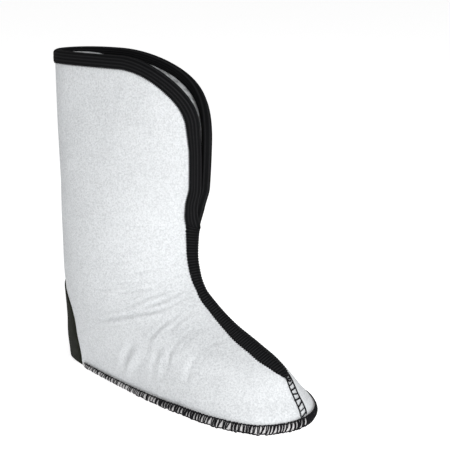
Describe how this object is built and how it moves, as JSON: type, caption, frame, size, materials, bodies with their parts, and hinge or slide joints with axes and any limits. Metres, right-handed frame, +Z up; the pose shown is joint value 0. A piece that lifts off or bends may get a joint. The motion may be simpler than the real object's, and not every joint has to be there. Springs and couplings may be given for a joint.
{
  "type": "winter boot liner",
  "caption": "Removable felt inner boot for a winter boot: hollow white felt upper on a felt sole, black knit binding round the collar and front slit, black heel patch.",
  "frame": {"origin": "centre of the bounding box's base, on the plane the sole stands on", "axes": "+X from heel to toe, +Z up to the collar, -Y towards the lateral side of the right foot"},
  "size_m": [0.3072, 0.1164, 0.3233],
  "materials": {
    "sole_felt": "light grey needle felt, matte",
    "white_felt": "white needle felt with a fine mottled fibre, matte",
    "black_knit": "black knit tape, ribbed lengthwise, a slight sheen",
    "ribbed_knit": "black knit tape, ribbed across, matte",
    "heel_fabric": "black woven fabric, matte"
  },
  "bodies": {
    "root": {"sole": "sole_felt", "upper": "white_felt", "collar_binding": "black_knit", "vamp_binding": "ribbed_knit", "heel_patch": "heel_fabric"}
  },
  "joints": []
}
